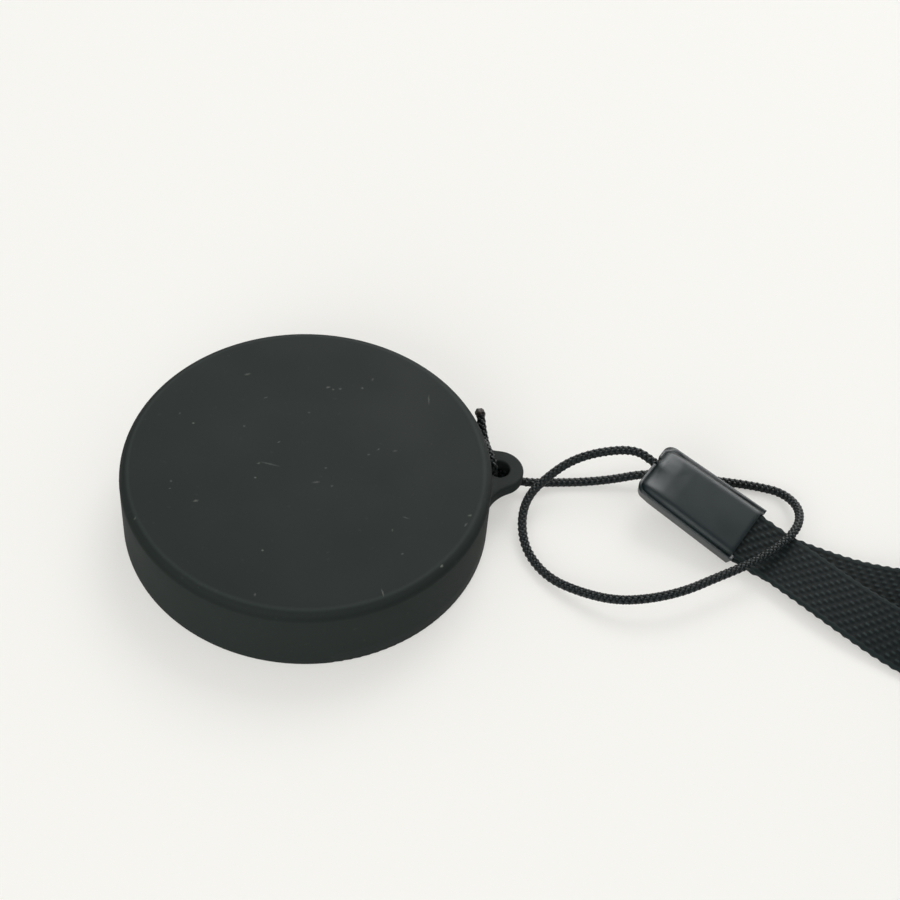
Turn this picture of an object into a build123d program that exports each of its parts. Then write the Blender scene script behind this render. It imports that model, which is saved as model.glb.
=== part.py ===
# Slip-on lens cap of moulded rubber with its tether: a braided cord tied through the cap's lug,
# a clip of two plastic shells that holds the cord's end, and a wrist loop of flat webbing.
# Millimetres. The origin is on the cap's axis in the plane of its rim, +Z points to the closed
# face and +X goes through the lug.
from build123d import *
from math import cos, pi, radians, sin, tan
import os

# Cap: a cup that slips over the lens barrel
bore_diameter = 58.0
cap_wall = 2.0
cap_height = 13.2
cap_face = 2.2
skirt_draft = 0.7          # degrees, the skirt narrows towards the closed face
top_edge_round = 1.8
rim_edge_round = 0.4
bore_corner_round = 1.5
bore_lead_in = 0.4

# Lug: a flat eyelet moulded on the skirt
lug_underside = 4.25
lug_thickness = 2.35
lug_reach = 2.3            # from the skirt to the middle of the hole
lug_tip_radius = 4.25
lug_flare_radius = 6.75
lug_hole_diameter = 3.6
lug_edge_round = 0.45
lug_hole_round = 0.3
lug_root_depth = 0.35      # how far the flares run in under the skirt's surface

# Webbing of the wrist loop
webbing_width = 10.0
webbing_thickness = 1.0
layer_gap = 0.2            # between the two ends where they lie stacked in the clip
section_pitch = 5.0        # along the webbing, between the sections that it is lofted through

# Cord
cord_diameter = 1.5
arc_share = 0.45           # of the shorter run beside a corner, taken up by the corner's arc
sealed_tip_diameter = 1.85
lug_knot_diameter = 3.8
stopper_diameter = 2.4     # the end in the clip, melted to a head
stopper_length = 2.6
stopper_round = 0.25

# Clip: a tray with the cord at one end and the webbing at the other, and a cover plate set on it
clip_length = 20.4
clip_cord_end_width = 11.2
clip_strap_end_width = 12.2
clip_corner_radius = 1.8
upper_height = 0.8
upper_inset = 0.25         # the cover's margin at the cord end and along its front side
upper_ledge = 0.65         # the tray shows as a ledge along the cover's back side
upper_setback = 0.5        # the cover ends short of the tray at the strap
upper_bevel_length = 4.4
upper_end_height = 0.45
upper_edge_round = 1.3     # larger than the cover's height, so its edge is only part of a quarter round
lower_depth = 2.9
lower_bevel_length = 3.2
lower_end_depth = 2.1
lower_edge_round = 0.6
lower_draft = 10.0         # degrees
bevel_blend = 3.0          # where a bevel runs into the flat
upright_rise = 0.8         # an edge that rises more steeply than this is an upright corner
pocket_depth = 7.5         # how far the webbing goes in
straight_out = 3.6         # the webbing's straight run before it bends away from the clip
pocket_clearance = 0.1
channel_clearance = 0.1
channel_side = 1.4         # the cord lies nearer the clip's back side
stopper_wall = 4.6         # the end wall that the cord's head pulls against
peg_diameter = 1.6
peg_height = 1.2
peg_clearance = 0.08
peg_spread = 8.0           # between the two locating pegs
peg_place = 6.2            # from the cord end

# Where the clip lies: on its strap end, its cord end and back side held up by the stiff cord
clip_cord_end = (59.36, -3.52, 7.0)
clip_yaw = -44.6
clip_tilt = 12.0
clip_roll = 8.0

# Sizes that follow
bore_radius = bore_diameter / 2
rim_radius = bore_radius + cap_wall
top_radius = rim_radius - cap_height * tan(radians(skirt_draft))
lug_skirt_radius = rim_radius - (lug_underside + lug_thickness) * tan(radians(skirt_draft))
lug_root_radius = lug_skirt_radius - lug_root_depth
lug_centre = lug_skirt_radius + lug_reach
cord_radius = cord_diameter / 2
layer_height = layer_gap / 2 + webbing_thickness / 2
pocket_height = layer_gap / 2 + webbing_thickness + pocket_clearance
parting_height = pocket_height    # cover and tray meet level with the pocket's roof
channel_radius = cord_radius + channel_clearance
pocket_width = webbing_width + 2 * pocket_clearance
chamber_radius = stopper_diameter / 2 + pocket_clearance
chamber_length = stopper_length + pocket_clearance
clip_widening = (clip_strap_end_width - clip_cord_end_width) / 2 / clip_length
clip_place = Pos(*clip_cord_end) * Rot(0, 0, clip_yaw) * Rot(0, clip_tilt, 0) * Rot(clip_roll, 0, 0)


def in_clip(along, side, height):
    # A point measured from the clip's cord end, its middle line and the cord's axis
    return (clip_place * Pos(along, side, height)).position


# Cord: from its head in the clip, round the loose loop, under the clip and to the knot under the lug
cord_route = [
    in_clip(stopper_wall + cord_radius, channel_side, 0),
    in_clip(-4.0, channel_side, 0),
    (51.2, 0.7, 7.7),
    (46.0, 0.5, 6.2),
    (41.4, -1.5, 4.6),
    (37.7, -4.0, 3.2),
    (35.7, -8.3, 2.0),
    (35.4, -14.3, 1.2),
    (37.9, -20.0, 1.1),
    (42.2, -24.0, 1.9),
    (47.4, -27.3, 3.0),
    (53.0, -28.3, 3.8),
    (59.1, -27.9, 4.3),
    (64.9, -26.1, 4.4),
    (71.1, -24.3, 4.5),
    (76.5, -22.1, 4.9),
    (82.1, -18.4, 4.9),
    (85.1, -12.4, 2.6),
    (84.0, -7.4, 1.0),
    (80.1, -5.3, 0.8),
    (74.7, -3.5, 0.8),
    (69.4, -2.3, 1.1),
    (64.1, -1.4, 1.9),
    (59.3, -1.0, 2.4),
    (54.1, -0.7, 1.3),
    (48.4, -0.2, 0.8),
    (43.4, 0.3, 0.9),
    (39.0, -0.1, 2.0),
    (34.2, 1.6, 2.2),
]
lug_knot = (33.4, 2.2, 2.15)

# The turn up through the hole, over the lug beside the skirt and back to the knot
lug_turn = [
    (33.0, 1.4, 2.2),
    (32.4, 0.4, 3.9),
    (32.35, 0.5, 7.5),
    (31.3, 6.9, 7.5),
    (31.3, 6.9, 2.0),
    (33.2, 2.8, 2.0),
]
lug_turn_radius = 1.5

# The cord's cut end, which stands up behind the lug
tail_route = [
    (33.4, 3.0, 2.2),
    (33.1, 7.2, 2.5),
    (32.7, 9.3, 3.9),
    (32.5, 11.2, 5.5),
    (32.5, 12.9, 6.7),
]

# Wrist loop: out of the clip as the upper layer, round the loop and back as the lower layer
strap_route = [
    (81.9, -26.3, 2.75),
    (87.9, -33.6, 2.6),
    (94.3, -41.2, 2.45),
    (101.8, -50.7, 3.95),
    (108.9, -61.7, 5.1),
    (116.2, -73.9, 5.15),
    (122.4, -83.9, 5.1),
    (129.4, -91.8, 5.1),
    (137.8, -97.6, 5.1),
    (148.6, -98.3, 5.1),
    (158.6, -93.8, 5.1),
    (164.9, -85.0, 5.1),
    (165.9, -74.4, 5.1),
    (161.6, -64.6, 5.1),
    (153.2, -56.2, 5.1),
    (142.8, -49.0, 5.15),
    (128.4, -42.7, 5.2),
    (113.6, -38.1, 4.4),
    (101.5, -34.0, 2.55),
    (91.8, -30.4, 1.65),
    (83.2, -25.4, 1.6),
]
roll_start = 16.0          # from the clip, where the webbing begins to turn on its edge
roll_span = 60.0           # the length over which it turns


def corner_radii(points):
    # The largest arcs that a route's runs allow, one for each corner
    places = [Vector(*point) for point in points]
    radii = []
    for before, here, after in zip(places, places[1:], places[2:]):
        turn = radians((here - before).get_angle(after - here))
        run = min((here - before).length, (after - here).length)
        radii.append(arc_share * run / tan(turn / 2))
    return radii


def make_tube(name, points, radii):
    path = FilletPolyline(*points, radius=radii)
    start = Plane(origin=path @ 0, z_dir=path % 0)
    tube = sweep(start * Circle(cord_radius), path=path)
    print(name, "radii", [round(radius, 1) for radius in radii])
    print(name, "length", round(path.length, 1), "volume", round(tube.volume, 1),
          "section times length", round(pi * cord_radius ** 2 * path.length, 1))
    return tube


def vertex_at(face, x, z):
    return face.vertices().sort_by_distance((x, 0, z))[0]


def make_lens_cap():
    inside = cap_height - cap_face
    section = make_face(Polyline(
        (0, 0, inside),
        (bore_radius, 0, inside),
        (bore_radius, 0, 0),
        (rim_radius, 0, 0),
        (top_radius, 0, cap_height),
        (0, 0, cap_height),
        close=True,
    ))
    section = fillet(vertex_at(section, top_radius, cap_height), top_edge_round)
    section = fillet(vertex_at(section, rim_radius, 0), rim_edge_round)
    section = fillet(vertex_at(section, bore_radius, inside), bore_corner_round)
    section = chamfer(vertex_at(section, bore_radius, 0), bore_lead_in)
    return revolve(section, Axis.Z) + make_lug()


def flat_edges(solid):
    # The edges round its lowest and highest faces
    levels = solid.edges().group_by(Axis.Z)
    return [*levels[0], *levels[-1]]


def make_lug():
    tip = Pos(lug_centre, 0) * Rot(0, 0, 180) * Circle(lug_tip_radius)
    plan = Circle(lug_root_radius) + tip
    plan = fillet([v for v in plan.vertices() if abs(v.Y) > lug_tip_radius / 4], lug_flare_radius)
    side = 2 * (lug_tip_radius + lug_flare_radius)
    plan = plan & Pos(lug_root_radius, 0) * Rectangle(side, side)
    plan = plan - Circle(bore_radius + cap_wall / 2)
    plan = plan - Pos(lug_centre, 0) * Circle(lug_hole_diameter / 2)
    lug = extrude(Pos(0, 0, lug_underside) * plan, lug_thickness)
    lug = fillet([edge for edge in flat_edges(lug) if edge.is_closed], lug_hole_round)
    outer = []
    for edge in flat_edges(lug):
        middle = edge @ 0.5
        beyond_root = Vector(middle.X, middle.Y).length > lug_root_radius + lug_root_depth / 4
        if beyond_root and not edge.is_closed:
            outer.append(edge)
    return fillet(outer, lug_edge_round)


def clip_plan(inset, ledge, end):
    near = clip_cord_end_width / 2 + clip_widening * inset
    far = clip_cord_end_width / 2 + clip_widening * end
    plan = make_face(Polyline(
        (inset, inset - near),
        (end, inset - far),
        (end, far - ledge),
        (inset, near - ledge),
        close=True,
    ))
    return fillet(plan.vertices().group_by(Axis.X)[0], clip_corner_radius - inset)


def clip_block(inset, ledge, end, height, bevel_length, end_height, edge_round, draft):
    # One half of the clip's outer form, rounded and then cut off at the parting plane
    side = make_face(Polyline(
        (inset, 0, -edge_round),
        (end, 0, -edge_round),
        (end, 0, height),
        (bevel_length, 0, height),
        (inset, 0, end_height),
        close=True,
    ))
    side = fillet(vertex_at(side, bevel_length, height), bevel_blend)
    plan = clip_plan(inset, ledge, end)
    block = extrude(plan, height, taper=draft) + extrude(plan, -edge_round)
    block = block & extrude(side, clip_strap_end_width, both=True)
    rim = []
    for edge in block.edges():
        middle = edge @ 0.5
        level = abs((edge % 0.5).Z) < upright_rise
        outside = abs(middle.Y) > clip_cord_end_width / 4 or middle.X < 2 * inset + edge_round / 2
        if middle.Z > end_height / 2 and level and outside:
            rim.append(edge)
    above = Box(2 * end, clip_strap_end_width, height, align=(Align.CENTER, Align.CENTER, Align.MIN))
    return fillet(rim, edge_round) & above


def along_cord(radius, start, length):
    # A round bar on the cord's axis in the clip
    bar = Cylinder(radius, length, align=(Align.CENTER, Align.CENTER, Align.MIN))
    return Pos(start, channel_side, 0) * Rot(0, 90, 0) * bar


def over_cord(width, start, length):
    # A block from the cord's axis up to the parting plane
    block = Box(length, width, parting_height, align=(Align.MIN, Align.CENTER, Align.MIN))
    return Pos(start, channel_side, 0) * block


def drop_in(radius, start, length):
    # Room for a round thing on the cord's axis, open upwards to the parting plane
    return along_cord(radius, start, length) + over_cord(2 * radius, start, length)


def clip_hollow():
    # The pocket for the webbing, the chamber for the cord's head and the channel for the cord
    open_end = clip_length
    pocket = Pos(clip_length - pocket_depth, 0, 0) * Box(
        pocket_depth + open_end, pocket_width, 2 * pocket_height,
        align=(Align.MIN, Align.CENTER, Align.CENTER))
    chamber = drop_in(chamber_radius, stopper_wall, chamber_length)
    channel = drop_in(channel_radius, -open_end, open_end + stopper_wall)
    return pocket + chamber + channel


def channel_rib():
    # Closes the channel's slot above the cord
    width = 2 * (channel_radius - peg_clearance)
    rib = over_cord(width, upper_edge_round / 2, stopper_wall - upper_edge_round / 2)
    return rib - along_cord(channel_radius, 0, stopper_wall)


def pegs(radius, height):
    peg = Pos(0, 0, -height) * Cylinder(radius, height, align=(Align.CENTER, Align.CENTER, Align.MIN))
    return [Pos(peg_place, y, parting_height) * peg for y in (-peg_spread / 2, peg_spread / 2)]


def make_upper_shell():
    shell = clip_block(upper_inset, upper_ledge, clip_length - upper_setback, upper_height,
                       upper_bevel_length, upper_end_height, upper_edge_round, 0)
    shell = Pos(0, 0, parting_height) * shell + channel_rib()
    for peg in pegs(peg_diameter / 2, peg_height):
        shell = shell + peg
    return clip_place * shell


def make_lower_shell():
    shell = clip_block(0, 0, clip_length, lower_depth,
                       lower_bevel_length, lower_end_depth, lower_edge_round, lower_draft)
    shell = Pos(0, 0, parting_height) * mirror(shell, Plane.XY) - clip_hollow()
    for socket in pegs(peg_diameter / 2 + peg_clearance, peg_height + peg_clearance):
        shell = shell - socket
    return clip_place * shell


def make_tether_cord():
    cord = make_tube("cord", cord_route, corner_radii(cord_route))
    turn = make_tube("turn", lug_turn, [lug_turn_radius] * (len(lug_turn) - 2))
    tail = make_tube("tail", tail_route, corner_radii(tail_route))
    head = along_cord(stopper_diameter / 2, stopper_wall, stopper_length)
    head = fillet(head.edges().filter_by(GeomType.CIRCLE), stopper_round)
    tip = Pos(*tail_route[-1]) * Sphere(sealed_tip_diameter / 2)
    tie = Pos(*lug_knot) * Sphere(lug_knot_diameter / 2)
    return cord + clip_place * head + tie + turn + tail + tip


def webbing_roll(distance, length):
    # Level with the clip in it and for a short way after it, on edge round the far end of the loop
    inside = pocket_depth - pocket_clearance
    free = min(distance, length - distance) - inside
    share = min(max((free - roll_start) / roll_span, 0), 1)
    turned = clip_roll + (90 - clip_roll) * share * share * (3 - 2 * share)
    return turned if distance < length / 2 else 180 - turned


def make_wrist_strap():
    inner = clip_length - pocket_depth + pocket_clearance
    route = [
        in_clip(inner, 0, layer_height),
        in_clip(clip_length + straight_out, 0, layer_height),
        *strap_route,
        in_clip(clip_length + straight_out, 0, -layer_height),
        in_clip(inner, 0, -layer_height),
    ]
    radii = corner_radii(route)
    path = FilletPolyline(*route, radius=radii)
    count = round(path.length / section_pitch)
    sections = []
    for i in range(count + 1):
        distance = path.length * i / count
        place = path.position_at(distance, position_mode=PositionMode.LENGTH)
        ahead = path.tangent_at(distance, position_mode=PositionMode.LENGTH)
        roll = radians(webbing_roll(distance, path.length))
        level = Vector(-ahead.Y, ahead.X, 0).normalized()
        across = level * cos(roll) + Vector(0, 0, sin(roll))
        plane = Plane(origin=place, x_dir=across, z_dir=ahead)
        sections.append(plane * Rectangle(webbing_width, webbing_thickness))
    strap = loft(sections, ruled=True)
    print("strap radii", [round(radius, 1) for radius in radii])
    print("strap length", round(path.length, 1), "volume", round(strap.volume, 1),
          "section times length", round(webbing_width * webbing_thickness * path.length, 1))
    return strap


os.makedirs("parts", exist_ok=True)
export_step(make_lens_cap(), "parts/lens_cap.step")
export_step(make_upper_shell(), "parts/clip_upper_shell.step")
export_step(make_lower_shell(), "parts/clip_lower_shell.step")
export_step(make_tether_cord(), "parts/tether_cord.step")
export_step(make_wrist_strap(), "parts/wrist_strap.step")
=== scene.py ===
# Slip-on lens cap of matte rubber on its tether: a braided cord, a plastic clip and a woven wrist loop.
import math
import bmesh
import bpy
from mathutils import Matrix, Vector, noise


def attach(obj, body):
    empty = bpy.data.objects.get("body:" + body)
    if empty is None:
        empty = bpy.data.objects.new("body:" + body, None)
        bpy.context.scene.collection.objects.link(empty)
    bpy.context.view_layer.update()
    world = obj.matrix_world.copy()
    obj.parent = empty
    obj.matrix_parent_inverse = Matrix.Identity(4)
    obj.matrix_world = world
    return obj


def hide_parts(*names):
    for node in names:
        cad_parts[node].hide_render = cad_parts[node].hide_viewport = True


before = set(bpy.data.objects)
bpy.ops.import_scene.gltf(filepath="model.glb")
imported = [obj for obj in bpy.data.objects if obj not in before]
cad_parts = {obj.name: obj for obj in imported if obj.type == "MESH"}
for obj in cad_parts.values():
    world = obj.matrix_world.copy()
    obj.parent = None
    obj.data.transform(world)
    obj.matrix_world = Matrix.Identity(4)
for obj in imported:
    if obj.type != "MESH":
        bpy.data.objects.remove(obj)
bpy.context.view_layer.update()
scene = bpy.context.scene
mm = 0.001
print("frame loaded:", ", ".join(sorted(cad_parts)))


# Small helpers

def hexColor(code):
    # sRGB hex to the linear values that the sockets take
    channels = []
    for start in (1, 3, 5):
        value = int(code[start:start + 2], 16) / 255
        channels.append(value / 12.92 if value <= 0.04045 else ((value + 0.055) / 1.055) ** 2.4)
    return (*channels, 1)


def perMm(size):
    # texture scale for a feature of that many millimetres, since coordinates are in metres
    return 1 / (size * mm)


def addNode(tree, kind, inputs=None, **settings):
    node = tree.nodes.new(kind)
    for name, value in settings.items():
        setattr(node, name, value)
    for key, value in (inputs or {}).items():
        if isinstance(value, bpy.types.NodeSocket):
            tree.links.new(value, node.inputs[key])
        else:
            node.inputs[key].default_value = value
    return node


def newMaterial(name):
    material = bpy.data.materials.new(name)
    material.use_nodes = True
    tree = material.node_tree
    tree.nodes.clear()
    return material, tree


def finishMaterial(tree, shader):
    addNode(tree, "ShaderNodeOutputMaterial", {"Surface": shader.outputs[0]})


def linkPiece(name, data):
    piece = bpy.data.objects.new(name, data)
    scene.collection.objects.link(piece)
    return piece


def inMetres(points):
    return [Vector(point) * mm for point in points]


def smoothLine(name, points):
    # one open NURBS spline with the route's points as its control points
    curve = bpy.data.curves.new(name, "CURVE")
    curve.dimensions = "3D"
    curve.resolution_u = 16
    spline = curve.splines.new("NURBS")
    spline.points.add(len(points) - 1)
    for place, point in zip(spline.points, points):
        place.co = (*point, 1)
    spline.order_u = 3
    spline.use_endpoint_u = True
    return linkPiece(name, curve)


def linePoints(line):
    mesh = bpy.data.meshes.new_from_object(line)
    points = [vertex.co.copy() for vertex in mesh.vertices]
    bpy.data.meshes.remove(mesh)
    return points


def lineLength(points):
    return sum((b - a).length for a, b in zip(points, points[1:]))


def startTree(name, sizes):
    # a Geometry Nodes tree with a named input for each size
    tree = bpy.data.node_groups.new(name, "GeometryNodeTree")
    tree.interface.new_socket("Geometry", in_out="INPUT", socket_type="NodeSocketGeometry")
    tree.interface.new_socket("Geometry", in_out="OUTPUT", socket_type="NodeSocketGeometry")
    for label in sizes:
        tree.interface.new_socket(label, in_out="INPUT", socket_type="NodeSocketFloat")
    return tree, addNode(tree, "NodeGroupInput").outputs


def meshFromTree(name, source, tree, sizes):
    # runs the tree on the source and keeps the result as a plain mesh
    modifier = source.modifiers.new(tree.name, "NODES")
    modifier.node_group = tree
    for item in tree.interface.items_tree:
        if item.in_out == "INPUT" and item.name in sizes:
            modifier[item.identifier] = float(sizes[item.name])
    graph = bpy.context.evaluated_depsgraph_get()
    mesh = bpy.data.meshes.new_from_object(source.evaluated_get(graph))
    mesh.name = name
    source.modifiers.remove(modifier)
    return linkPiece(name, mesh)


# Where the clip lies, and a point in its own frame

clip = {
    "cordEnd": (59.36, -3.52, 7.0),
    "yaw": -44.6,
    "tilt": 12.0,
    "roll": 8.0,
    "length": 20.4,
    "channelSide": 1.4,        # of the cord, from the clip's middle line
    "pocketInner": 13.0,       # where the webbing's ends stop, from the cord end
    "straightEnd": 24.0,       # where the webbing starts to bend away
    "layerHeight": 0.6,        # of each webbing end, above or below the cord's axis
}
clipPlace = (Matrix.Translation(clip["cordEnd"])
             @ Matrix.Rotation(math.radians(clip["yaw"]), 4, "Z")
             @ Matrix.Rotation(math.radians(clip["tilt"]), 4, "Y")
             @ Matrix.Rotation(math.radians(clip["roll"]), 4, "X"))


def inClip(along, side, height):
    return clipPlace @ Vector((along, side, height))


# Webbing of the wrist loop

webbing = {
    "width": 10.0,
    "thickness": 1.0,
    "columns": 11,
    "columnSteps": 3,
    "repeat": 1.75,            # length of one rise and dip of a warp yarn
    "repeatSteps": 7,
    "shift": 1 / 3,            # share of the repeat by which each column lags its neighbour, as in a twill
    "riseFrom": -0.25,         # of a yarn's wave, where it starts to show
    "riseTo": 0.8,             # and where it stands full
    "relief": 0.22,
    "edgeRelief": 0.2,
    "plainFrom": 0.7,          # columns in from the edge, where the colour turns plain
    "plainTo": 0.5,
    "straightFrom": 0.88,      # shares of the half width over which the outer yarns turn straight
    "straightTo": 0.92,
    "fallFrom": 0.86,          # share from which they fall off to the edge
    "fallLevel": 0.8,          # of the relief, where they start
    "toothFrom": 0.94,         # share from which the edge is toothed
    "rollStart": 16.0,         # from the clip, where the webbing begins to turn on its edge
    "rollSpan": 60.0,
    "inside": 7.4,             # length of each end inside the clip
}

# Camera, set to the photograph's view

view = {
    "eye": (-23.65, -169.21, 217.0),   # mm
    "heading": -15.75,
    "elevation": 49.2553,
    "roll": 6.5401,
    "lens": 64.0,
    "sensor": 36.0,
}


def makeCamera():
    camera = linkPiece("viewCamera", bpy.data.cameras.new("viewCamera"))
    camera.data.lens = view["lens"]
    camera.data.sensor_width = view["sensor"]
    camera.data.clip_start = 0.01
    camera.data.clip_end = 20
    camera.matrix_world = (Matrix.Translation(Vector(view["eye"]) * mm)
                           @ Matrix.Rotation(math.radians(view["heading"]), 4, "Z")
                           @ Matrix.Rotation(math.radians(90 - view["elevation"]), 4, "X")
                           @ Matrix.Rotation(math.radians(view["roll"]), 4, "Z"))
    scene.camera = camera


makeCamera()
print("camera set")


# Finishes

def mixColors(tree, share, low, high):
    mix = addNode(tree, "ShaderNodeMix", {"Factor": share, 6: low, 7: high}, data_type="RGBA")
    return mix.outputs[2]


def doMath(tree, operation, *values):
    return addNode(tree, "ShaderNodeMath", dict(enumerate(values)), operation=operation).outputs[0]


def mapRange(tree, value, low, high, lowTo=0.0, highTo=1.0, kind="LINEAR"):
    return addNode(tree, "ShaderNodeMapRange", {
        "Value": value, "From Min": low, "From Max": high, "To Min": lowTo, "To Max": highTo},
        interpolation_type=kind).outputs[0]


# Dust and rub marks on the cap's top: place, length and width in mm, angle in degrees, strength
capMarks = [
    (-17.9, 11.0, 0.45, 0.35, 0, 0.95), (-19.9, 13.5, 0.6, 0.4, 60, 0.3), (-4.2, 5.1, 0.7, 0.3, 20, 0.7),
    (-6.2, 0.5, 3.6, 0.35, -25, 0.3), (-8.0, 0.9, 0.6, 0.4, 0, 0.55), (-8.9, -2.1, 0.4, 0.4, 0, 0.75),
    (-22.5, -1.1, 0.5, 0.5, 0, 0.35), (-22.8, -2.6, 0.4, 0.3, 0, 0.4), (-18.9, -5.7, 1.0, 0.5, 5, 0.55),
    (-9.4, -17.0, 0.4, 0.3, 30, 0.65), (-11.5, -25.3, 0.7, 0.4, 80, 0.4), (8.1, -27.6, 1.6, 0.3, 95, 0.5),
    (18.2, -23.7, 0.7, 0.4, 40, 0.95), (24.6, -14.4, 0.7, 0.5, 0, 0.6), (23.6, -16.2, 1.0, 0.35, 50, 0.45),
    (12.1, 1.4, 0.7, 0.3, 30, 0.5), (14.8, 0.7, 0.9, 0.5, 0, 0.3), (10.3, 0.5, 0.5, 0.4, 0, 0.35),
    (2.8, -1.5, 0.4, 0.4, 0, 0.4), (0.8, -4.3, 1.4, 0.5, 0, 0.3), (3.3, -5.4, 0.5, 0.4, 70, 0.35),
    (5.7, 16.4, 0.8, 0.4, 20, 0.6), (6.5, 15.8, 0.5, 0.4, 0, 0.5), (7.7, 15.8, 0.6, 0.4, 0, 0.45),
    (11.5, 15.5, 0.5, 0.5, 0, 0.5), (13.6, 17.3, 0.8, 0.4, 50, 0.3), (22.5, 11.4, 2.4, 0.3, 80, 0.45),
    (-9.5, 9.3, 0.6, 0.4, 70, 0.3), (-5.2, 15.3, 0.8, 0.3, 20, 0.35), (1.7, 11.0, 0.6, 0.4, 0, 0.3),
    (-7.7, 21.1, 1.2, 0.5, 10, 0.4), (-28.7, -7.9, 0.7, 0.4, 60, 0.4), (14.2, -13.5, 1.2, 0.3, -30, 0.3),
    (12.4, -20.6, 0.6, 0.3, 0, 0.35), (11.6, -15.7, 0.6, 0.3, 80, 0.35),
]


markEdge = {
    "ragged": 0.35,            # mm, by which an outline is torn
    "core": 0.2,               # share of a mark's half size that is fully covered
    "fade": 1.15,              # share at which it ends
    "cover": 0.75,             # of the strongest mark
}


def markShare(tree, place, height):
    # how much each point of the top is covered by one of the marks, whose outlines are ragged
    tear = markEdge["ragged"] * mm
    ragged = addNode(tree, "ShaderNodeTexNoise", {
        "Vector": place, "Scale": perMm(markEdge["ragged"]), "Detail": 2.0})
    shift = addNode(tree, "ShaderNodeVectorMath", {
        0: ragged.outputs["Color"], 1: (tear,) * 3, 2: (-tear / 2,) * 3}, operation="MULTIPLY_ADD")
    torn = addNode(tree, "ShaderNodeVectorMath", {0: place, 1: shift.outputs[0]}, operation="ADD")
    share = 0.0
    for x, y, length, width, angle, strength in capMarks:
        local = addNode(tree, "ShaderNodeMapping", {
            "Vector": torn.outputs[0], "Location": (x * mm, y * mm, height * mm),
            "Rotation": (0, 0, math.radians(angle)),
            "Scale": (length / 2 * mm, width / 2 * mm, mm)}, vector_type="TEXTURE")
        reach = addNode(tree, "ShaderNodeVectorMath", {0: local.outputs[0]}, operation="LENGTH")
        mark = mapRange(tree, reach.outputs["Value"], markEdge["fade"], markEdge["core"],
                        0.0, markEdge["cover"] * strength)
        share = doMath(tree, "MAXIMUM", share, mark)
    return share


def mouldedRubber():
    # Silicone rubber from a spark-finished mould: dull, faintly cloudy and dusty on top, with a painted
    # highlight round the top's rim and painted shade on the edge's roll
    look = {
        "body": "#202624", "bloom": "#252b29", "dust": "#7b7e78",
        "top": 13.2,            # mm, the height of the closed face
        "grain": 0.3,           # mm, coarser than the real spark finish so that it shows
        "cloud": 14.0,
        "haze": 1.2, "hazeCover": 0.05,
        # painted highlight: the top's rim painted lighter
        "rimHighlight": "#323937", "rimRadius": 29.45, "rimWidth": 0.55, "rimShare": 0.6, "rimLevel": 12.6,
        # painted shade: the roll of the edge below it painted darker
        "shade": "#191f1d", "rollHeight": 12.05, "rollCore": 0.1, "rollWidth": 0.8, "rollShare": 0.55,
        "rollRadius": 29.9,
    }
    material, tree = newMaterial("mouldedRubber")
    place = addNode(tree, "ShaderNodeTexCoord").outputs["Object"]
    cloud = addNode(tree, "ShaderNodeTexNoise", {
        "Vector": place, "Scale": perMm(look["cloud"]), "Detail": 5.0}).outputs["Fac"]
    base = mixColors(tree, cloud, hexColor(look["body"]), hexColor(look["bloom"]))
    haze = addNode(tree, "ShaderNodeTexNoise", {
        "Vector": place, "Scale": perMm(look["haze"]), "Detail": 3.0}).outputs["Fac"]
    fine = mapRange(tree, haze, 0.66, 0.8, 0.0, look["hazeCover"])
    height = addNode(tree, "ShaderNodeSeparateXYZ", {0: place}).outputs[2]
    level = addNode(tree, "ShaderNodeVectorMath", {0: place, 1: (1.0, 1.0, 0.0)}, operation="MULTIPLY")
    radius = addNode(tree, "ShaderNodeVectorMath", {0: level.outputs[0]}, operation="LENGTH").outputs["Value"]
    # a paler ring on the top's rim: painted highlight
    fromRim = doMath(tree, "ABSOLUTE", doMath(tree, "SUBTRACT", radius, look["rimRadius"] * mm))
    rim = mapRange(tree, fromRim, 0.0, look["rimWidth"] * mm, look["rimShare"], 0.0, "SMOOTHSTEP")
    rim = doMath(tree, "MULTIPLY", rim, doMath(tree, "GREATER_THAN", height, look["rimLevel"] * mm))
    # a darker band round the edge's roll below the rim: painted shade
    fromRoll = doMath(tree, "ABSOLUTE", doMath(tree, "SUBTRACT", height, look["rollHeight"] * mm))
    roll = mapRange(tree, fromRoll, look["rollCore"] * mm, look["rollWidth"] * mm,
                    look["rollShare"], 0.0, "SMOOTHSTEP")
    roll = doMath(tree, "MULTIPLY", roll, doMath(tree, "GREATER_THAN", radius, look["rollRadius"] * mm))
    rimHighlight = mixColors(tree, rim, base, hexColor(look["rimHighlight"]))
    rimLitAndShaded = mixColors(tree, roll, rimHighlight, hexColor(look["shade"]))
    dusted = mixColors(tree, fine, rimLitAndShaded, hexColor(look["dust"]))
    marked = mixColors(tree, markShare(tree, place, look["top"]), dusted, hexColor(look["dust"]))
    grain = addNode(tree, "ShaderNodeTexNoise", {
        "Vector": place, "Scale": perMm(look["grain"]), "Detail": 2.0}).outputs["Fac"]
    bump = addNode(tree, "ShaderNodeBump", {"Height": grain, "Strength": 0.2, "Distance": 0.03 * mm})
    shader = addNode(tree, "ShaderNodeBsdfPrincipled", {
        "Base Color": marked, "Roughness": mapRange(tree, cloud, 0.3, 0.7, 0.56, 0.66),
        "Normal": bump.outputs[0], "IOR": 1.41, "Specular IOR Level": 0.08})
    finishMaterial(tree, shader)
    return material


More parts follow.
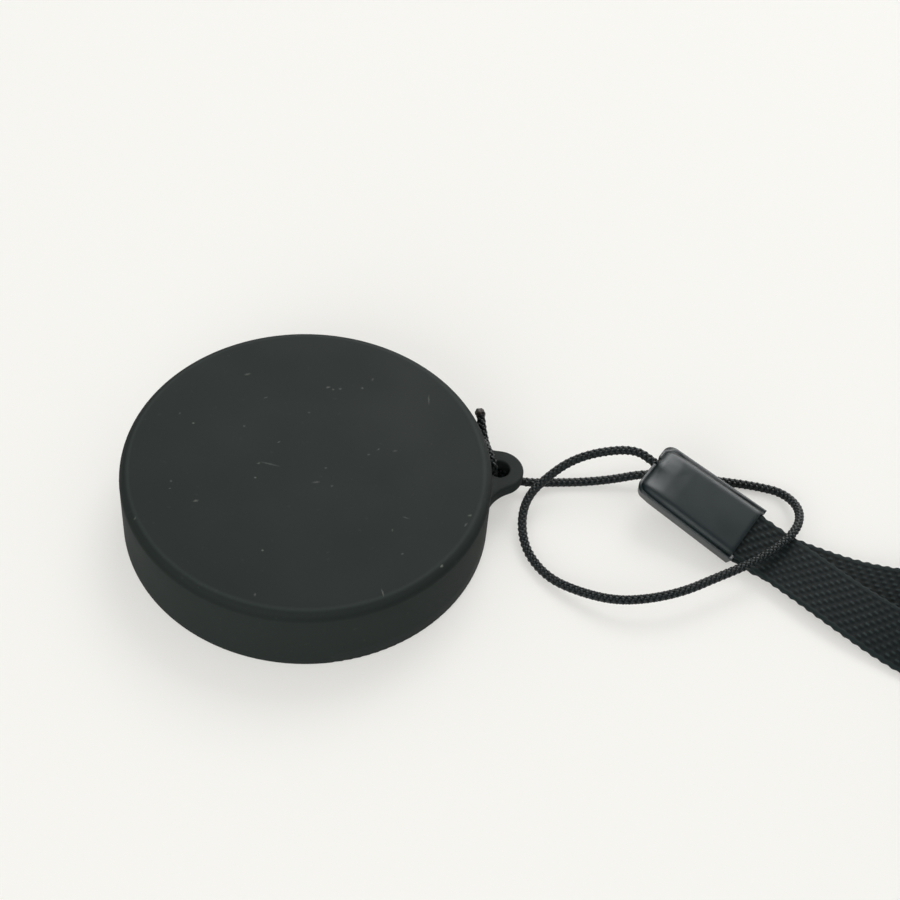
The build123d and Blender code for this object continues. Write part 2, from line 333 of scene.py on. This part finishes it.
def satinAbs(name, edgeRound, shine):
    # Injection-moulded ABS: slate black and smooth, with a broad soft gloss and edges that catch the light
    look = {"body": "#101c1e", "flow": "#132123", "grain": 0.6, "flowLength": 7.0}
    material, tree = newMaterial(name)
    place = addNode(tree, "ShaderNodeTexCoord").outputs["Object"]
    flow = addNode(tree, "ShaderNodeTexNoise", {
        "Vector": place, "Scale": perMm(look["flowLength"]), "Detail": 3.0}).outputs["Fac"]
    base = mixColors(tree, flow, hexColor(look["body"]), hexColor(look["flow"]))
    grain = addNode(tree, "ShaderNodeTexNoise", {
        "Vector": place, "Scale": perMm(look["grain"]), "Detail": 1.0}).outputs["Fac"]
    edge = addNode(tree, "ShaderNodeBevel", {"Radius": edgeRound * mm}, samples=6)
    bump = addNode(tree, "ShaderNodeBump", {
        "Height": grain, "Strength": 0.08, "Distance": 0.02 * mm, "Normal": edge.outputs[0]})
    shader = addNode(tree, "ShaderNodeBsdfPrincipled", {
        "Base Color": base, "Roughness": mapRange(tree, flow, 0.3, 0.7, 0.31, 0.35),
        "Normal": bump.outputs[0], "IOR": 1.53, "Specular IOR Level": shine})
    finishMaterial(tree, shader)
    return material


def braidedPolyester():
    # Filament polyester: near black, with pale glints where a strand turns its side to the light, and painted
    # shade where a strand dips under its neighbours
    look = {"dipShade": "#070a0a", "rise": "#1b2324", "filament": 0.1}
    material, tree = newMaterial("braidedPolyester")
    place = addNode(tree, "ShaderNodeTexCoord").outputs["Object"]
    fibre = addNode(tree, "ShaderNodeTexNoise", {
        "Vector": place, "Scale": perMm(look["filament"]), "Detail": 2.0}).outputs["Fac"]
    lift = addNode(tree, "ShaderNodeAttribute", attribute_name="lift").outputs["Fac"]
    shading = mapRange(tree, fibre, 0.3, 0.7, 0.6, 1.0)
    # each strand is painted darker where it dips under a crossing and lighter where it rises over one:
    # painted shade and painted highlight
    share = doMath(tree, "MULTIPLY", mapRange(tree, lift, -1.0, 1.0), shading)
    base = mixColors(tree, share, hexColor(look["dipShade"]), hexColor(look["rise"]))
    bump = addNode(tree, "ShaderNodeBump", {"Height": fibre, "Strength": 0.3, "Distance": 0.03 * mm})
    shader = addNode(tree, "ShaderNodeBsdfPrincipled", {
        "Base Color": base, "Roughness": 0.42, "Normal": bump.outputs[0], "IOR": 1.57,
        "Specular IOR Level": 0.17})
    finishMaterial(tree, shader)
    return material


def meltedPolyester():
    # The cord's cut end where a flame has melted it: brown-black, lumpy and glazed
    look = {"body": "#12100e", "char": "#453b31", "lump": 0.45}
    material, tree = newMaterial("meltedPolyester")
    place = addNode(tree, "ShaderNodeTexCoord").outputs["Object"]
    lump = addNode(tree, "ShaderNodeTexNoise", {
        "Vector": place, "Scale": perMm(look["lump"]), "Detail": 3.0}).outputs["Fac"]
    base = mixColors(tree, mapRange(tree, lump, 0.5, 0.68), hexColor(look["body"]), hexColor(look["char"]))
    bump = addNode(tree, "ShaderNodeBump", {"Height": lump, "Strength": 0.6, "Distance": 0.12 * mm})
    shader = addNode(tree, "ShaderNodeBsdfPrincipled", {
        "Base Color": base, "Roughness": 0.4, "Normal": bump.outputs[0], "IOR": 1.57,
        "Specular IOR Level": 0.2})
    finishMaterial(tree, shader)
    return material


def twill(tree, across, along, shift):
    # a column's rounding and its yarn's lift, from places counted in columns and repeats
    column = doMath(tree, "FLOOR", across)
    bow = doMath(tree, "SINE", doMath(tree, "MULTIPLY", across, math.pi))
    ridge = doMath(tree, "POWER", doMath(tree, "ABSOLUTE", bow), 2.0)
    phase = doMath(tree, "SUBTRACT", along, doMath(tree, "MULTIPLY", column, shift))
    wave = doMath(tree, "COSINE", doMath(tree, "MULTIPLY", phase, 2 * math.pi))
    lift = mapRange(tree, wave, webbing["riseFrom"], webbing["riseTo"], kind="SMOOTHSTEP")
    return ridge, lift, column, phase


def wovenNylon():
    # Spun nylon webbing in a fine twill: a soft dull black, with a painted highlight where the warp rises and
    # painted shade in the gaps between its columns
    look = {
        "gapShade": "#101616", "weft": "#161d1d", "warp": "#2b3536", "selvedge": "#1c2525",
        "filament": 0.2, "unevenness": 0.65,
    }
    material, tree = newMaterial("wovenNylon")
    place = addNode(tree, "ShaderNodeTexCoord").outputs["Object"]
    weave = addNode(tree, "ShaderNodeAttribute", attribute_name="weave").outputs["Vector"]
    split = addNode(tree, "ShaderNodeSeparateXYZ", {0: weave})
    ridge, lift, column, phase = twill(tree, split.outputs[0], split.outputs[1], webbing["shift"])
    cell = addNode(tree, "ShaderNodeCombineXYZ", {"X": column, "Y": doMath(tree, "ROUND", phase)})
    chance = addNode(tree, "ShaderNodeTexWhiteNoise", {
        "Vector": cell.outputs[0]}, noise_dimensions="3D").outputs["Value"]
    fibre = addNode(tree, "ShaderNodeTexNoise", {
        "Vector": place, "Scale": perMm(look["filament"]), "Detail": 3.0}).outputs["Fac"]
    uneven = mapRange(tree, chance, 0.0, 1.0, 1 - look["unevenness"], 1.0)
    shading = mapRange(tree, fibre, 0.3, 0.7, 0.7, 1.0)
    # the risen warp is painted lighter and the gaps between columns darker: painted highlight and painted
    # shade
    risen = doMath(tree, "MULTIPLY", doMath(tree, "MULTIPLY", lift, uneven), shading)
    yarn = mixColors(tree, risen, hexColor(look["weft"]), hexColor(look["warp"]))
    woven = mixColors(tree, mapRange(tree, ridge, 0.3, 0.95, kind="SMOOTHSTEP"), hexColor(look["gapShade"]), yarn)
    # the outermost yarns run straight, so the edge is plain
    half = webbing["columns"] / 2
    side = doMath(tree, "ABSOLUTE", doMath(tree, "SUBTRACT", split.outputs[0], half))
    outer = mapRange(tree, side, half - webbing["plainFrom"], half - webbing["plainTo"])
    base = mixColors(tree, outer, woven, hexColor(look["selvedge"]))
    bump = addNode(tree, "ShaderNodeBump", {"Height": fibre, "Strength": 0.5, "Distance": 0.06 * mm})
    shader = addNode(tree, "ShaderNodeBsdfPrincipled", {
        "Base Color": base, "Roughness": 0.62, "Normal": bump.outputs[0], "IOR": 1.53,
        "Specular IOR Level": 0.07})
    finishMaterial(tree, shader)
    return material


rubber = mouldedRubber()
coverPlastic = satinAbs("satinAbsCover", 1.2, 0.27)
trayPlastic = satinAbs("satinAbsTray", 0.5, 0.45)
polyester = braidedPolyester()
melted = meltedPolyester()
nylon = wovenNylon()
print("finishes made")


# Cap and clip: copies of their solids, merged and smoothed over gentle edges only

def dressNode(name, pieceName, material, sharpAngle):
    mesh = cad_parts[name].data.copy()
    mesh.name = pieceName
    shape = bmesh.new()
    shape.from_mesh(mesh)
    bmesh.ops.remove_doubles(shape, verts=shape.verts, dist=0.0005 * mm)
    for face in shape.faces:
        face.smooth = True
    shape.to_mesh(mesh)
    shape.free()
    mesh.set_sharp_from_angle(angle=math.radians(sharpAngle))
    mesh.materials.clear()
    mesh.materials.append(material)
    piece = linkPiece(pieceName, mesh)
    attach(piece, "root")
    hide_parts(name)
    return piece


dressNode("lens_cap", "rubberCap", rubber, 30)
clipShells = [
    dressNode("clip_upper_shell", "clipCover", coverPlastic, 24),
    dressNode("clip_lower_shell", "clipTray", trayPlastic, 24),
]
print("cap and clip dressed")


# Tether cord: eight strands plaited over a core

cord = {
    "diameter": 1.5,           # of the tube that the braid stands for
    "outer": 1.66,             # over the crowns of the braid
    "strands": 8,
    "lead": 4.0,               # length of one turn of a strand
    "strandWidth": 0.58,
    "strandThickness": 0.36,
    "crimp": 0.12,             # how far a strand rises and dips at its crossings
    "coreRadius": 0.46,
    "step": 0.125,             # between a strand's sections
    "exit": (33.5, 0.0, 4.25), # at the underside of the lug's hole
    "wrapTurns": 1.625,        # of the knot's end round its standing part
    "wrapSteps": 8,            # points in a turn
    "wrapRadius": 1.3,
    "wrapFrom": (36.6, 0.8, 2.1),
    "wrapTo": (34.4, 1.55, 2.15),
    "wrapStart": -45,          # degrees
    "bulb": 1.85,              # diameter of the melted end
}
cordRoute = [
    inClip(5.35, clip["channelSide"], 0),
    inClip(0, clip["channelSide"], 0),
    inClip(-4.0, clip["channelSide"], 0),
    (51.2, 0.7, 7.7),
    (46.0, 0.5, 6.2),
    (41.4, -1.5, 4.6),
    (37.7, -4.0, 3.2),
    (35.7, -8.3, 2.0),
    (35.4, -14.3, 1.2),
    (37.9, -20.0, 1.1),
    (42.2, -24.0, 1.9),
    (47.4, -27.3, 3.0),
    (53.0, -28.3, 3.8),
    (59.1, -27.9, 4.3),
    (64.9, -26.1, 4.4),
    (71.1, -24.3, 4.5),
    (76.5, -22.1, 4.9),
    (82.1, -18.4, 4.9),
    (85.1, -12.4, 2.6),
    (84.0, -7.4, 1.0),
    (80.1, -5.3, 0.8),
    (74.7, -3.5, 0.8),
    (69.4, -2.3, 1.1),
    (64.1, -1.4, 1.9),
    (59.3, -1.0, 2.4),
    (54.1, -0.7, 1.3),
    (48.4, -0.2, 0.8),
    (43.4, 0.3, 0.9),
    (39.0, -0.1, 2.0),
    (36.6, 0.8, 2.1),
]
lugTurn = [                    # up through the hole, over the lug beside the skirt and down behind it
    (34.4, 1.55, 2.15),
    (33.0, 1.4, 2.3),
    (32.4, 0.4, 4.2),
    (32.35, 0.5, 7.5),
    (31.4, 6.7, 7.5),
    (31.4, 6.7, 2.6),
    (32.8, 5.6, 1.1),
    (35.4, 4.0, 0.9),
]
tailRoute = [
    (33.8, 4.6, 3.1),
    (33.1, 7.2, 2.5),
    (32.7, 9.3, 3.9),
    (32.5, 11.2, 5.5),
    (32.5, 12.9, 6.7),
]


def knotWraps():
    # the cord's end wound round its own standing part, under the lug
    start = Vector(cord["wrapFrom"])
    along = Vector(cord["wrapTo"]) - start
    side = along.normalized().cross(Vector((0, 0, 1)))
    points = []
    count = round(cord["wrapTurns"] * cord["wrapSteps"])
    for i in range(count + 1):
        angle = math.radians(cord["wrapStart"] - 360 / cord["wrapSteps"] * i)
        out = side * math.cos(angle) + Vector((0, 0, 1)) * math.sin(angle)
        points.append(start + along * (i / count) + out * cord["wrapRadius"])
    return points


def braidTree():
    labels = ("Strands", "Lead", "Strand width", "Strand thickness", "Strand radius", "Crimp",
              "Core radius", "Step")
    tree, size = startTree("braidTree", labels)
    line = addNode(tree, "GeometryNodeResampleCurve", {
        "Curve": size["Geometry"], "Length": size["Step"]}, mode="LENGTH")
    line = addNode(tree, "GeometryNodeSetCurveNormal", {"Curve": line.outputs[0]}, mode="MINIMUM_TWIST")
    copies = addNode(tree, "GeometryNodeDuplicateElements", {
        "Geometry": line.outputs[0], "Amount": size["Strands"]}, domain="SPLINE")
    number = copies.outputs["Duplicate Index"]
    # every second strand winds the other way, and passes over where its neighbours pass under
    odd = doMath(tree, "MODULO", number, 2.0)
    way = doMath(tree, "MULTIPLY_ADD", odd, 2.0, -1.0)
    share = doMath(tree, "DIVIDE", doMath(tree, "SUBTRACT", number, odd), size["Strands"])
    along = addNode(tree, "GeometryNodeSplineParameter").outputs["Length"]
    turns = doMath(tree, "DIVIDE", along, size["Lead"])
    both = doMath(tree, "ADD", doMath(tree, "MULTIPLY", turns, way), share)
    angle = doMath(tree, "MULTIPLY", both, 2 * math.pi)
    crossings = doMath(tree, "MULTIPLY", turns, size["Strands"])
    wave = doMath(tree, "COSINE", doMath(tree, "MULTIPLY", crossings, math.pi))
    lift = doMath(tree, "MULTIPLY", wave, way)
    far = doMath(tree, "MULTIPLY_ADD", lift, size["Crimp"], size["Strand radius"])
    normal = addNode(tree, "GeometryNodeInputNormal").outputs[0]
    tangent = addNode(tree, "GeometryNodeInputTangent").outputs[0]
    radial = addNode(tree, "ShaderNodeVectorRotate", {
        "Vector": normal, "Axis": tangent, "Angle": angle}, rotation_type="AXIS_ANGLE")
    keep = addNode(tree, "GeometryNodeCaptureAttribute", domain="POINT")
    keep.capture_items.new("VECTOR", "radial")
    keep.capture_items.new("FLOAT", "lift")
    tree.links.new(copies.outputs["Geometry"], keep.inputs[0])
    tree.links.new(radial.outputs[0], keep.inputs[1])
    tree.links.new(lift, keep.inputs[2])
    offset = addNode(tree, "ShaderNodeVectorMath", {0: keep.outputs[1], "Scale": far}, operation="SCALE")
    moved = addNode(tree, "GeometryNodeSetPosition", {
        "Geometry": keep.outputs[0], "Offset": offset.outputs[0]})
    faced = addNode(tree, "GeometryNodeSetCurveNormal", {
        "Curve": moved.outputs[0], "Normal": keep.outputs[1]}, mode="FREE")
    section = addNode(tree, "ShaderNodeCombineXYZ", {
        "X": size["Strand thickness"], "Y": size["Strand width"], "Z": 1.0})
    ring = addNode(tree, "GeometryNodeCurvePrimitiveCircle", {"Resolution": 6, "Radius": 0.5})
    flat = addNode(tree, "GeometryNodeTransform", {"Geometry": ring.outputs[0], "Scale": section.outputs[0]})
    strands = addNode(tree, "GeometryNodeCurveToMesh", {
        "Curve": faced.outputs[0], "Profile Curve": flat.outputs[0], "Fill Caps": True})
    strands = addNode(tree, "GeometryNodeStoreNamedAttribute", {
        "Geometry": strands.outputs[0], "Name": "lift", "Value": keep.outputs[2]},
        data_type="FLOAT", domain="POINT")
    coreRing = addNode(tree, "GeometryNodeCurvePrimitiveCircle", {
        "Resolution": 8, "Radius": size["Core radius"]})
    core = addNode(tree, "GeometryNodeCurveToMesh", {
        "Curve": line.outputs[0], "Profile Curve": coreRing.outputs[0], "Fill Caps": True})
    joined = addNode(tree, "GeometryNodeJoinGeometry", {"Geometry": strands.outputs[0]})
    tree.links.new(core.outputs[0], joined.inputs[0])
    smooth = addNode(tree, "GeometryNodeSetShadeSmooth", {"Geometry": joined.outputs[0]})
    real = addNode(tree, "GeometryNodeRealizeInstances", {"Geometry": smooth.outputs[0]})
    dressed = addNode(tree, "GeometryNodeSetMaterial", {"Geometry": real.outputs[0], "Material": polyester})
    addNode(tree, "NodeGroupOutput", {"Geometry": dressed.outputs[0]})
    return tree


def makeTailBulb(tip):
    # the cut end, melted to a rough bead of two lobes
    mesh = bpy.data.meshes.new("tailBulb")
    shape = bmesh.new()
    bmesh.ops.create_icosphere(shape, subdivisions=5, radius=cord["bulb"] / 2 * mm)
    for vertex in shape.verts:
        swell = 1 + 0.22 * noise.noise(vertex.co * perMm(0.8)) + 0.08 * noise.noise(vertex.co * perMm(0.3))
        cleft = 0.16 * math.exp(-(vertex.co.x * perMm(0.22)) ** 2) * max(vertex.co.normalized().z, 0)
        vertex.co = vertex.co * (swell - cleft) + tip
    for face in shape.faces:
        face.smooth = True
    shape.to_mesh(mesh)
    shape.free()
    mesh.materials.append(melted)
    return linkPiece("tailBulb", mesh)


def makeTetherCord():
    points = inMetres([*cordRoute, *lugTurn, *knotWraps(), *tailRoute])
    route = smoothLine("cordRoute", points)
    path = linePoints(route)
    sizes = {
        "Strands": cord["strands"],
        "Lead": cord["lead"] * mm,
        "Strand width": cord["strandWidth"] * mm,
        "Strand thickness": cord["strandThickness"] * mm,
        "Strand radius": (cord["outer"] / 2 - cord["strandThickness"] / 2 - cord["crimp"]) * mm,
        "Crimp": cord["crimp"] * mm,
        "Core radius": cord["coreRadius"] * mm,
        "Step": cord["step"] * mm,
    }
    braid = meshFromTree("braidedTether", route, braidTree(), sizes)
    bpy.data.objects.remove(route)
    bulb = makeTailBulb(path[-1])
    for piece in (braid, bulb):
        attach(piece, "root")
    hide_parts("tether_cord")
    print("cord:", round(lineLength(path) / mm, 1), "mm,", len(braid.data.polygons), "faces")


makeTetherCord()


# Wrist loop: woven webbing, flat in the clip and on edge round its far end

strapRoute = [
    inClip(clip["pocketInner"], 0, clip["layerHeight"]),
    inClip(clip["length"], 0, clip["layerHeight"]),
    inClip(clip["straightEnd"], 0, clip["layerHeight"]),
    (81.2, -26.9, 2.75),
    (86.9, -34.5, 2.6),
    (93.4, -42.0, 2.45),
    (101.8, -50.7, 3.95),
    (108.9, -61.7, 5.1),
    (116.2, -73.9, 5.15),
    (122.4, -83.9, 5.1),
    (129.4, -91.8, 5.1),
    (137.8, -97.6, 5.1),
    (148.6, -98.3, 5.1),
    (158.6, -93.8, 5.1),
    (164.9, -85.0, 5.1),
    (165.9, -74.4, 5.1),
    (161.6, -64.6, 5.1),
    (153.2, -56.2, 5.1),
    (142.8, -49.0, 5.15),
    (128.4, -42.7, 5.2),
    (113.6, -38.1, 4.4),
    (101.2, -34.6, 2.55),
    (91.8, -30.4, 1.65),
    (83.2, -25.4, 1.6),
    inClip(clip["straightEnd"], 0, -clip["layerHeight"]),
    inClip(clip["length"], 0, -clip["layerHeight"]),
    inClip(clip["pocketInner"], 0, -clip["layerHeight"]),
]


def webbingSection():
    # the webbing's outline in section, less its relief, with points for each yarn
    across = webbing["columns"] * webbing["columnSteps"]
    half = webbing["width"] / 2 - webbing["edgeRelief"]
    thick = webbing["thickness"] / 2 - webbing["relief"]
    edge = (0.5, 0.0, -0.5)
    points = [(half - 2 * half * i / across, thick) for i in range(across + 1)]
    points += [(-half, thick * share) for share in edge]
    points += [(2 * half * i / across - half, -thick) for i in range(across + 1)]
    points += [(half, -thick * share) for share in edge]
    curve = bpy.data.curves.new("webbingSection", "CURVE")
    spline = curve.splines.new("POLY")
    spline.points.add(len(points) - 1)
    for place, (x, y) in zip(spline.points, points):
        place.co = (x * mm, y * mm, 0, 1)
    spline.use_cyclic_u = True
    return linkPiece("webbingSection", curve)


def webbingTree(section):
    labels = ("Half width", "Column pitch", "Repeat", "Shift", "Step", "Relief", "Edge relief",
              "Roll start", "Roll end", "Clip roll")
    tree, size = startTree("webbingTree", labels)
    line = addNode(tree, "GeometryNodeResampleCurve", {
        "Curve": size["Geometry"], "Length": size["Step"]}, mode="LENGTH")
    along = addNode(tree, "GeometryNodeSplineParameter").outputs["Length"]
    whole = addNode(tree, "GeometryNodeSplineLength").outputs["Length"]
    rest = doMath(tree, "SUBTRACT", whole, along)
    free = doMath(tree, "MINIMUM", along, rest)
    roll = mapRange(tree, free, size["Roll start"], size["Roll end"],
                    size["Clip roll"], math.pi / 2, "SMOOTHSTEP")
    # the second half goes on turning the same way, so the webbing returns face down
    second = doMath(tree, "GREATER_THAN", along, rest)
    back = doMath(tree, "SUBTRACT", math.pi, roll)
    turn = addNode(tree, "ShaderNodeMix", {"Factor": second, 2: roll, 3: back}, data_type="FLOAT")
    tangent = addNode(tree, "GeometryNodeInputTangent").outputs[0]
    flat = addNode(tree, "ShaderNodeVectorMath", {0: (0.0, 0.0, 1.0), 1: tangent}, operation="CROSS_PRODUCT")
    across = addNode(tree, "ShaderNodeVectorRotate", {
        "Vector": flat.outputs[0], "Axis": tangent, "Angle": turn.outputs[0]}, rotation_type="AXIS_ANGLE")
    unit = addNode(tree, "ShaderNodeVectorMath", {0: across.outputs[0]}, operation="NORMALIZE")
    faced = addNode(tree, "GeometryNodeSetCurveNormal", {
        "Curve": line.outputs[0], "Normal": unit.outputs[0]}, mode="FREE")
    rail = addNode(tree, "GeometryNodeCaptureAttribute", domain="POINT")
    rail.capture_items.new("FLOAT", "along")
    tree.links.new(faced.outputs[0], rail.inputs[0])
    tree.links.new(along, rail.inputs[1])
    outline = addNode(tree, "GeometryNodeObjectInfo", {"Object": section})
    cross = addNode(tree, "GeometryNodeCaptureAttribute", domain="POINT")
    cross.capture_items.new("VECTOR", "place")
    tree.links.new(outline.outputs["Geometry"], cross.inputs[0])
    tree.links.new(addNode(tree, "GeometryNodeInputPosition").outputs[0], cross.inputs[1])
    band = addNode(tree, "GeometryNodeCurveToMesh", {
        "Curve": rail.outputs[0], "Profile Curve": cross.outputs[0], "Fill Caps": True})
    x = addNode(tree, "ShaderNodeSeparateXYZ", {0: cross.outputs[1]}).outputs[0]
    column = doMath(tree, "DIVIDE", doMath(tree, "ADD", x, size["Half width"]), size["Column pitch"])
    repeat = doMath(tree, "DIVIDE", rail.outputs[1], size["Repeat"])
    ridge, lift, _, _ = twill(tree, column, repeat, size["Shift"])
    rise = doMath(tree, "MULTIPLY", doMath(tree, "MULTIPLY", ridge, lift), size["Relief"])
    # the outermost yarns run straight and stand level
    half = size["Half width"]
    side = doMath(tree, "ABSOLUTE", x)
    straightFrom = doMath(tree, "MULTIPLY", half, webbing["straightFrom"])
    straightTo = doMath(tree, "MULTIPLY", half, webbing["straightTo"])
    straight = mapRange(tree, side, straightFrom, straightTo)
    fallFrom = doMath(tree, "MULTIPLY", half, webbing["fallFrom"])
    fall = mapRange(tree, side, fallFrom, half, webbing["fallLevel"], 0.0)
    level = doMath(tree, "MULTIPLY", size["Relief"], fall)
    rise = addNode(tree, "ShaderNodeMix", {"Factor": straight, 2: rise, 3: level}, data_type="FLOAT")
    rim = mapRange(tree, side, doMath(tree, "MULTIPLY", half, webbing["toothFrom"]), half)
    wave = doMath(tree, "SINE", doMath(tree, "MULTIPLY", repeat, 2 * math.pi))
    tooth = doMath(tree, "MULTIPLY_ADD", wave, 0.5, 0.5)
    bite = doMath(tree, "MULTIPLY", doMath(tree, "MULTIPLY", tooth, rim), size["Edge relief"])
    outward = doMath(tree, "ADD", rise.outputs[0], bite)
    offset = addNode(tree, "ShaderNodeVectorMath", {
        0: addNode(tree, "GeometryNodeInputNormal").outputs[0], "Scale": outward}, operation="SCALE")
    woven = addNode(tree, "GeometryNodeSetPosition", {
        "Geometry": band.outputs[0], "Offset": offset.outputs[0]})
    weave = addNode(tree, "ShaderNodeCombineXYZ", {"X": column, "Y": repeat})
    woven = addNode(tree, "GeometryNodeStoreNamedAttribute", {
        "Geometry": woven.outputs[0], "Name": "weave", "Value": weave.outputs[0]},
        data_type="FLOAT_VECTOR", domain="POINT")
    smooth = addNode(tree, "GeometryNodeSetShadeSmooth", {"Geometry": woven.outputs[0]})
    real = addNode(tree, "GeometryNodeRealizeInstances", {"Geometry": smooth.outputs[0]})
    dressed = addNode(tree, "GeometryNodeSetMaterial", {"Geometry": real.outputs[0], "Material": nylon})
    addNode(tree, "NodeGroupOutput", {"Geometry": dressed.outputs[0]})
    return tree


def makeWristLoop():
    route = smoothLine("strapRoute", inMetres(strapRoute))
    path = linePoints(route)
    section = webbingSection()
    sizes = {
        "Half width": (webbing["width"] / 2 - webbing["edgeRelief"]) * mm,
        "Column pitch": (webbing["width"] - 2 * webbing["edgeRelief"]) / webbing["columns"] * mm,
        "Repeat": webbing["repeat"] * mm,
        "Shift": webbing["shift"],
        "Step": webbing["repeat"] / webbing["repeatSteps"] * mm,
        "Relief": webbing["relief"] * mm,
        "Edge relief": webbing["edgeRelief"] * mm,
        "Roll start": (webbing["inside"] + webbing["rollStart"]) * mm,
        "Roll end": (webbing["inside"] + webbing["rollStart"] + webbing["rollSpan"]) * mm,
        "Clip roll": math.radians(clip["roll"]),
    }
    band = meshFromTree("wovenWristLoop", route, webbingTree(section), sizes)
    for helper in (route, section):
        bpy.data.objects.remove(helper)
    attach(band, "root")
    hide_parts("wrist_strap")
    print("webbing:", round(lineLength(path) / mm, 1), "mm,", len(band.data.polygons), "faces")


makeWristLoop()


# Studio: a pale floor and soft light

studio = {
    "floor": "#f4f3ef",
    "white": "#f9f8f4",
    "washShare": 0.44,         # of the floor's white as the camera sees it
    "shineShare": 0.35,        # and as glossy surfaces see it
    "floorSize": 6.0,          # metres
    "floorDrop": 0.00002,
    "sky": "#f3f3f1",
    "skyStrength": 0.68,
    "shineStrength": 0.26,     # of the sky as glossy surfaces see it
    "backdropStrength": 0.8,   # and as the camera sees it beyond the floor
    "lamps": {                 # place and aim in metres, size in metres, power in watts
        "backKey": ((0.45, 0.75, 0.95), (0.03, -0.02, 0.0), 0.7, 5.0),
        "frontFill": ((-0.6, -0.95, 0.42), (0.0, 0.0, 0.0), 0.9, 8.5),
        "endSheen": ((0.21, 0.44, 0.89), (0.06, -0.01, 0.0), 0.34, 4.2),
        "backSheen": ((0.0, 0.85, 0.68), (0.06, -0.01, 0.0), 0.75, 6.5),
        "edgeSheen": ((0.75, 0.55, 0.45), (0.06, -0.01, 0.0), 0.8, 9.0),
        "frontSheen": ((-0.3, -0.62, 0.83), (0.06, -0.01, 0.0), 0.6, 2.0),
    },
    "sheens": ("endSheen", "backSheen", "edgeSheen", "frontSheen"),   # lamps for glossy reflections only
}


def makeFloor():
    half = studio["floorSize"] / 2
    mesh = bpy.data.meshes.new("floor")
    square = ((-half, -half), (half, -half), (half, half), (-half, half))
    corners = [(x, y, -studio["floorDrop"]) for x, y in square]
    mesh.from_pydata(corners, [], [(0, 1, 2, 3)])
    material, tree = newMaterial("paleFloor")
    matte = addNode(tree, "ShaderNodeBsdfPrincipled", {
        "Base Color": hexColor(studio["floor"]), "Roughness": 0.6, "Specular IOR Level": 0.1})
    # an exposure set for white washes the floor's shadows out for the camera, and glossy surfaces see a share
    # of the same glowing white: a painted reflection
    washed = addNode(tree, "ShaderNodeEmission", {"Color": hexColor(studio["white"])})
    rays = addNode(tree, "ShaderNodeLightPath")
    seen = doMath(tree, "MULTIPLY", rays.outputs["Is Camera Ray"], studio["washShare"])
    share = doMath(tree, "MULTIPLY_ADD", rays.outputs["Is Glossy Ray"], studio["shineShare"], seen)
    shader = addNode(tree, "ShaderNodeMixShader", {0: share, 1: matte.outputs[0], 2: washed.outputs[0]})
    finishMaterial(tree, shader)
    mesh.materials.append(material)
    linkPiece("floor", mesh)


def makeLight():
    world = bpy.data.worlds.new("softSky")
    world.use_nodes = True
    world.node_tree.nodes.clear()
    rays = addNode(world.node_tree, "ShaderNodeLightPath")
    strength = mapRange(world.node_tree, rays.outputs["Is Glossy Ray"], 0.0, 1.0,
                        studio["skyStrength"], studio["shineStrength"])
    strength = mapRange(world.node_tree, rays.outputs["Is Camera Ray"], 0.0, 1.0,
                        strength, studio["backdropStrength"])
    sky = addNode(world.node_tree, "ShaderNodeBackground", {
        "Color": hexColor(studio["sky"]), "Strength": strength})
    addNode(world.node_tree, "ShaderNodeOutputWorld", {"Surface": sky.outputs[0]})
    scene.world = world
    for name, (place, aim, size, power) in studio["lamps"].items():
        lamp = bpy.data.lights.new(name, "AREA")
        lamp.size = size
        lamp.energy = power
        holder = linkPiece(name, lamp)
        holder.visible_diffuse = name not in studio["sheens"]
        holder.location = place
        holder.rotation_euler = (Vector(aim) - Vector(place)).to_track_quat("-Z", "Y").to_euler()


makeFloor()
makeLight()
scene.view_settings.view_transform = "Standard"
print("studio made")
